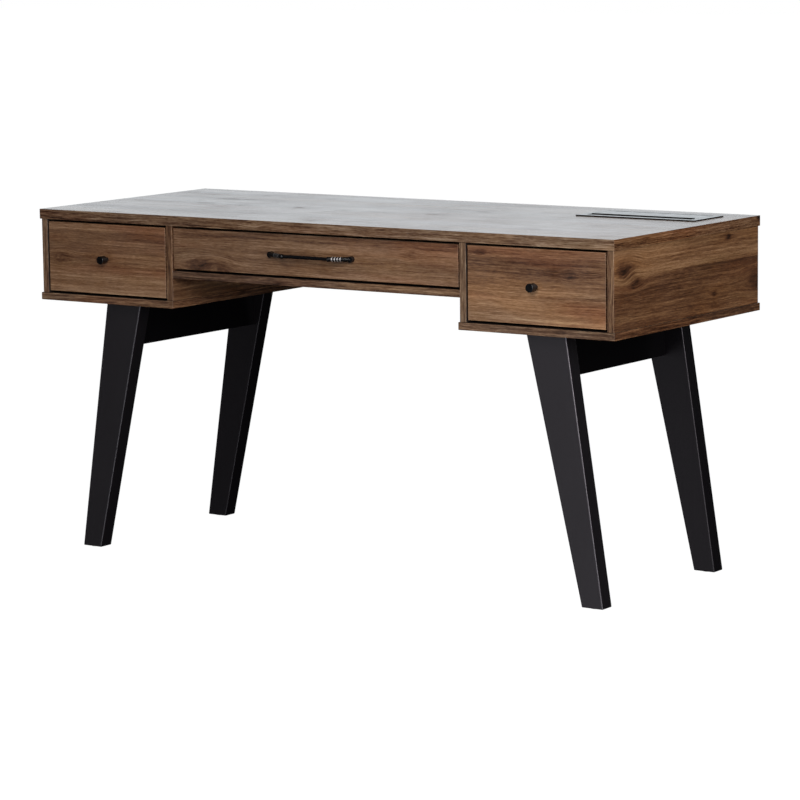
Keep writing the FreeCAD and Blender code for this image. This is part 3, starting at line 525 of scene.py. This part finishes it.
MERGE = 0.00001                                             # corners closer than this are one
CAGE_BALL, CAGE_PITCH, CAGE_COUNT = 0.00125, 0.0105, 12     # ball radius, spacing, balls in a row
CAGE_START = 0.020                                          # from the channel's front end to the first ball
CAGE_INSET = 0.0025                                         # from the channel's edge to the balls' centres
BALL_TIP, BALL_ANGLES = 0.00001, (-1.56, -1.0, -0.5, 0.0, 0.5, 1.0, 1.56)
STRIP_WIDTH, STRIP_THICK, STRIP_CORNER, STRIP_EASE = 0.0026, 0.0006, 0.0006, 0.0001

CROSS_REACH, CROSS_HALF = 0.0024, 0.0005                    # half the cross, half the width of its arms
CROSS_SINK, CROSS_HEIGHT, CROSS_EASE = 0.00002, 0.00012, 0.00004

LIP_MARGIN, LIP_FORE, LIP_DEPTH, LIP_CORNER = 0.002, 0.0022, 0.0040, 0.0012
LIP_HEIGHT, LIP_EASE = 0.0013, 0.0004
PORTS_X, PORTS_APART = 0.050, 0.009                         # from the module's middle
TONGUE = (0.0070, 0.0013, 0.0004)                           # width, depth, corner
TONGUE_DROP, TONGUE_HEIGHT, TONGUE_EASE = 0.0062, 0.0050, 0.0002
RIMS = ((-0.050, 0.040, 0.036), (0.005, 0.040, 0.036), (PORTS_X, 0.022, 0.034))     # x, width, depth
RIM_BAR, RIM_SINK, RIM_HEIGHT = 0.0012, 0.0001, 0.0007
LIGHT_PLACE, LIGHT_SINK = (0.067, 0.012), 0.00005
LIGHT_DOME = ((0.0, 0.0012), (0.0003, 0.0011), (0.0006, 0.0007), (0.0007, 0.0002))

CHANNEL_WEB, SCREW_SINK = 0.0012, 0.00005
SCREW_SHARES = (0.08, 0.42, 0.90)                           # along the channel
SCREW_DOME = ((0.0, 0.0034), (0.0003, 0.0033), (0.0006, 0.0026), (0.0008, 0.0014), (0.00085, 0.0003))


def solids_of(node):
    """The lowest and highest corner of each separate solid in a CAD node."""
    shape = bmesh.new()
    shape.from_mesh(NODES[node].data)
    bmesh.ops.remove_doubles(shape, verts=shape.verts, dist=MERGE)
    left = set(shape.verts)
    boxes = []
    while left:
        group = []
        queue = [left.pop()]
        while queue:
            vertex = queue.pop()
            group.append(vertex.co.copy())
            for edge in vertex.link_edges:
                other = edge.other_vert(vertex)
                if other in left:
                    left.remove(other)
                    queue.append(other)
        boxes.append((Vector([min(place[axis] for place in group) for axis in range(3)]),
                      Vector([max(place[axis] for place in group) for axis in range(3)])))
    shape.free()
    return sorted(boxes, key=lambda box: tuple(box[0]))


def make_piece(name, shape, material, body, smooth=False):
    """Turn a bmesh into an object that rides on a body, with one slot for the given material."""
    bmesh.ops.recalc_face_normals(shape, faces=shape.faces)
    mesh = bpy.data.meshes.new(name)
    shape.to_mesh(mesh)
    shape.free()
    mesh.materials.append(material)
    for face in mesh.polygons:
        face.use_smooth = smooth
    piece = bpy.data.objects.new(name, mesh)
    bpy.context.collection.objects.link(piece)
    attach(piece, body)


def close_layers(shape, layers):
    """Join rings of vertices into a closed skin, from the first ring to the last."""
    count = len(layers[0])
    for lower, upper in zip(layers, layers[1:]):
        for index in range(count):
            after = (index + 1) % count
            shape.faces.new((lower[index], lower[after], upper[after], upper[index]))
    shape.faces.new(layers[0][::-1])
    shape.faces.new(layers[-1])


def add_turned(shape, profile, place, axis, steps=20):
    """A turned form: (distance along the axis, radius) from end to end, closed at both ends."""
    turn = Vector((0, 0, 1)).rotation_difference(Vector(axis)).to_matrix()
    rings = []
    for along, radius in profile:
        ring = []
        for step in range(steps):
            angle = 2 * math.pi * step / steps
            local = Vector((radius * math.cos(angle), radius * math.sin(angle), along))
            ring.append(shape.verts.new(Vector(place) + turn @ local))
        rings.append(ring)
    close_layers(shape, rings)


def add_outline(shape, outline, place, height, ease, up=UP):
    """A plate of the given outline, standing height off its place, with its upper edge eased by ease."""
    across, up = Vector(RIGHT), Vector(up)
    other = up.cross(across)
    middle = sum((Vector(point) for point in outline), Vector((0, 0))) / len(outline)
    layers = []
    for level, inset in ((0, 0), (height - ease, 0), (height, ease)):
        layer = []
        for point in outline:
            offset = Vector(point) - middle
            point = Vector(point) - offset.normalized() * inset
            layer.append(shape.verts.new(Vector(place) + across * point.x + other * point.y + up * level))
        layers.append(layer)
    close_layers(shape, layers)


def cross_outline(reach, half):
    """The outline of a cross-head recess, from the corners of one arm."""
    outline = []
    for turn in range(4):
        angle = -turn * math.pi / 2
        for x, y in ((half, reach), (half, half), (reach, half)):
            outline.append((x * math.cos(angle) - y * math.sin(angle),
                            x * math.sin(angle) + y * math.cos(angle)))
    return outline


def rectangle(width, depth, corner, steps=4):
    """A rectangle with rounded corners."""
    outline = []
    for quarter, (way_x, way_y) in enumerate(((1, 1), (-1, 1), (-1, -1), (1, -1))):
        for step in range(steps + 1):
            angle = math.pi / 2 * (quarter + step / steps)
            outline.append((way_x * (width / 2 - corner) + corner * math.cos(angle),
                            way_y * (depth / 2 - corner) + corner * math.sin(angle)))
    return outline


def add_rim(shape, width, depth, place):
    """A raised frame round an opening, as four eased bars."""
    x, y, z = place
    for way in (-1, 1):
        for size, spot in (((width, RIM_BAR), (x, y + way * (depth - RIM_BAR) / 2, z)),
                           ((RIM_BAR, depth - 2 * RIM_BAR), (x + way * (width - RIM_BAR) / 2, y, z))):
            add_outline(shape, rectangle(*size, RIM_BAR / 3), spot, RIM_HEIGHT, RIM_HEIGHT / 3)


def add_runner_cages(steel):
    """Ball cages between the channels of every runner; they ride with the middle channels."""
    ball = [(CAGE_BALL * math.sin(angle), CAGE_BALL * math.cos(angle) + BALL_TIP) for angle in BALL_ANGLES]
    strip = rectangle(STRIP_WIDTH, CAGE_PITCH * CAGE_COUNT, STRIP_CORNER)
    for side in SIDES:
        shape = bmesh.new()
        for low, high in solids_of(side + "_middle_runners"):
            x = (low.x + high.x) / 2
            start = low.y + CAGE_START
            for edge, way in ((low.z, -1), (high.z, 1)):
                z = edge - way * CAGE_INSET
                for index in range(CAGE_COUNT):
                    add_turned(shape, ball, (x, start + CAGE_PITCH * index, z), UP, steps=12)
                place = (x, start + CAGE_PITCH * (CAGE_COUNT - 1) / 2, z - way * STRIP_THICK / 2)
                add_outline(shape, strip, place, STRIP_THICK, STRIP_EASE)
        make_piece(side + "_runner_balls", shape, steel, side + "_runners", smooth=True)


def add_recesses(dark):
    """Cross recesses in the heads of the handle screws, on the inside of the drawer fronts, drawn as dark
    crosses on the heads: painted shade of the recesses.
    """
    for node, body in (("left_knob_screw", "left_drawer"), ("right_knob_screw", "right_drawer"),
                       ("pull_screws", "centre_drawer")):
        shape = bmesh.new()
        for low, high in solids_of(node):
            place = ((low.x + high.x) / 2, high.y - CROSS_SINK, (low.z + high.z) / 2)
            add_outline(shape, cross_outline(CROSS_REACH, CROSS_HALF), place, CROSS_HEIGHT, CROSS_EASE, BACK)
        make_piece(node + "_recess", shape, dark, body)


def add_box_details(slot_shade_lip, tongue, rim, lens):
    """The flap's finger lip, the port tongues, the socket rims and a charging light. The lip is black plastic
    made darker than the flap: painted shade of the slot at the flap's front.
    """
    low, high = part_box("power_box_flap")
    shape = bmesh.new()
    add_outline(shape, rectangle(high.x - low.x - LIP_MARGIN, LIP_DEPTH, LIP_CORNER),
                ((low.x + high.x) / 2, low.y + LIP_FORE, high.z), LIP_HEIGHT, LIP_EASE)
    make_piece("flap_finger_lip", shape, slot_shade_lip, "flap")

    low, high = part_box("socket_module")
    centre = (low + high) / 2
    shape = bmesh.new()
    for offset in (-PORTS_APART, PORTS_APART):
        place = (centre.x + PORTS_X, centre.y + offset, high.z - TONGUE_DROP)
        add_outline(shape, rectangle(*TONGUE), place, TONGUE_HEIGHT, TONGUE_EASE)
    make_piece("port_tongues", shape, tongue, "desk")

    shape = bmesh.new()
    for x, width, depth in RIMS:
        add_rim(shape, width, depth, (centre.x + x, centre.y, high.z - RIM_SINK))
    make_piece("socket_rims", shape, rim, "desk")

    shape = bmesh.new()
    x, y = LIGHT_PLACE
    add_turned(shape, LIGHT_DOME, (centre.x + x, centre.y + y, high.z - LIGHT_SINK), UP)
    make_piece("charging_light", shape, lens, "desk", smooth=True)


def add_runner_screws(steel):
    """Low screw heads in the channels on the drawers' sides."""
    for side in SIDES:
        shape = bmesh.new()
        first, second = solids_of(side + "_drawer_runners")
        for (low, high), x, way in ((first, first[1].x - CHANNEL_WEB, -1),
                                    (second, second[0].x + CHANNEL_WEB, 1)):
            for share in SCREW_SHARES:
                place = (x - way * SCREW_SINK, low.y + share * (high.y - low.y), (low.z + high.z) / 2)
                add_turned(shape, SCREW_DOME, place, (way, 0, 0))
        make_piece(side + "_runner_screws", shape, steel, side + "_drawer", smooth=True)


def add_details():
    """Every piece that the CAD model leaves out."""
    steel = drawn_steel("bright_steel", srgb(170, 172, 176), srgb(214, 214, 216), rough=0.18)
    shadow = speckled("recess_shadow", srgb(10, 10, 10), srgb(18, 18, 18), rate=900.0, rough=0.6, bump=0.2)
    # the lip's black made darker than the flap's: painted shade of the slot there
    slot_shade_lip = speckled("slot_shade_lip_plastic", srgb(8, 8, 8), srgb(15, 15, 15), rate=1400.0, rough=0.4, bump=0.12)
    tongue = speckled("tongue_plastic", srgb(200, 202, 205), srgb(222, 224, 226), rate=900.0, rough=0.35,
                      bump=0.1)
    rim = speckled("rim_plastic", srgb(26, 26, 27), srgb(40, 40, 41), rate=1100.0, rough=0.4, bump=0.3)
    lens = speckled("lens_plastic", srgb(84, 130, 96), srgb(110, 158, 120), rate=900.0, rough=0.2, bump=0.05)
    add_runner_cages(steel)
    add_recesses(shadow)
    add_box_details(slot_shade_lip, tongue, rim, lens)
    add_runner_screws(steel)


add_details()


# ---------------------------------------------------------------- studio

CAMERA_PLACE = (4.2324, -6.0465, 1.4312)
CAMERA_TURN = 0.6078
CAMERA_DIP = 0.1454
CAMERA_ROLL = 0.0119
CAMERA_LENS = 154.29

# Soft bright patches in the world: way, where the patch starts and is full (as a cosine), light.
BACKDROP = ((-0.57, 0.82, 0.0), 0.62, 0.9, 1.12)        # mirrored in the top
GLOW = ((-0.16, -0.97, -0.16), 0.94, 0.988, 1.45)       # mirrored in the faces at the front
EDGE = ((0.74, -0.66, -0.14), 0.94, 0.985, 3.0)         # mirrored in the arrises of the legs
BACKDROP_FOOT = (-0.10, 0.03)                           # the heights between which the backdrop fades in
AMBIENT = (-0.2, 0.5, 0.01, 0.06)                       # lower and upper height, and the light at each
WORLD_TINT = (0.945, 1.0, 1.045, 1)

# Lamps: name, place, what they aim at, power.
LAMPS = (("front", (1.55, -3.2, 2.1), (0.1, -0.28, 0.5), 79),
         ("side", (3.5, -1.3, 1.5), (0.74, 0, 0.65), 65))
LAMP_SIZE = 1.6

FLOOR_HALF = 30
FLOOR_COLOUR = (0.12, 0.12, 0.12, 1)
FLOOR_GLOW = 0.96


def make_camera():
    """A long lens from the front right, a little above the top."""
    ahead = Vector((-math.sin(CAMERA_TURN) * math.cos(CAMERA_DIP),
                    math.cos(CAMERA_TURN) * math.cos(CAMERA_DIP), -math.sin(CAMERA_DIP)))
    right = Vector((math.cos(CAMERA_TURN), math.sin(CAMERA_TURN), 0))
    up = right.cross(ahead)
    cosine, sine = math.cos(CAMERA_ROLL), math.sin(CAMERA_ROLL)
    axes = (right * cosine - up * sine, right * sine + up * cosine, -ahead)
    data = bpy.data.cameras.new("camera")
    data.lens = CAMERA_LENS
    data.sensor_width = 36
    data.clip_end = 100
    camera = bpy.data.objects.new("camera", data)
    camera.matrix_world = Matrix.Translation(CAMERA_PLACE) @ Matrix(axes).transposed().to_4x4()
    bpy.context.collection.objects.link(camera)
    bpy.context.scene.camera = camera


def make_world():
    """A dim studio with three soft bright patches for the desk to mirror; the camera sees plain white."""
    world = bpy.data.worlds.new("studio")
    bpy.context.scene.world = world
    world.use_nodes = True
    tree = world.node_tree
    tree.nodes.clear()

    def add(kind, *values):
        node = tree.nodes.new(kind)
        for socket, value in zip(node.inputs, values):
            if isinstance(value, bpy.types.NodeSocket):
                tree.links.new(value, socket)
            else:
                socket.default_value = value
        return node

    def combined(operation, a, b):
        node = add("ShaderNodeMath", a, b)
        node.operation = operation
        return node.outputs[0]

    def eased(value, *limits):
        node = add("ShaderNodeMapRange", value, *limits)
        node.interpolation_type = "SMOOTHSTEP"
        return node.outputs[0]

    def patch(direction, start, full, light):
        towards = add("ShaderNodeVectorMath", way, direction)
        towards.operation = "DOT_PRODUCT"
        return eased(towards.outputs["Value"], start, full, 0.0, light)

    way = add("ShaderNodeTexCoord").outputs["Generated"]
    height = add("ShaderNodeSeparateXYZ", way).outputs[2]
    backdrop = combined("MULTIPLY", patch(*BACKDROP), eased(height, *BACKDROP_FOOT, 0.0, 1.0))
    patches = combined("ADD", patch(*GLOW), patch(*EDGE))
    total = combined("ADD", combined("ADD", backdrop, eased(height, *AMBIENT)), patches)
    light = add("ShaderNodeBackground", WORLD_TINT, total)
    seen = add("ShaderNodeBackground", WHITE, 1.0)
    camera_ray = add("ShaderNodeLightPath").outputs["Is Camera Ray"]
    mix = add("ShaderNodeMixShader", camera_ray, light.outputs[0], seen.outputs[0])
    add("ShaderNodeOutputWorld", mix.outputs[0])


def make_lamp(name, place, aim, power):
    """A soft square lamp."""
    data = bpy.data.lights.new(name, "AREA")
    data.shape = "RECTANGLE"
    data.size = data.size_y = LAMP_SIZE
    data.energy = power
    lamp = bpy.data.objects.new(name, data)
    lamp.location = place
    lamp.rotation_euler = (Vector(aim) - Vector(place)).to_track_quat("-Z", "Y").to_euler()
    bpy.context.collection.objects.link(lamp)


def make_floor():
    """A pale floor that only the camera sees, so that the desk's underside stays dark."""
    mesh = bpy.data.meshes.new("floor")
    corners = [(x * FLOOR_HALF, y * FLOOR_HALF, 0) for x, y in ((-1, -1), (1, -1), (1, 1), (-1, 1))]
    mesh.from_pydata(corners, [], [(0, 1, 2, 3)])
    floor = bpy.data.objects.new("floor", mesh)
    bpy.context.collection.objects.link(floor)
    graph = Graph("pale_floor")
    graph.surface({"Base Color": FLOOR_COLOUR, "Roughness": 0.9, "Emission Color": WHITE,
                   "Emission Strength": FLOOR_GLOW})
    mesh.materials.append(graph.material)
    floor.visible_diffuse = False
    floor.visible_glossy = False
    floor.visible_shadow = False


make_camera()
make_world()
make_floor()
for lamp in LAMPS:
    make_lamp(*lamp)
bpy.context.scene.view_settings.view_transform = "Standard"
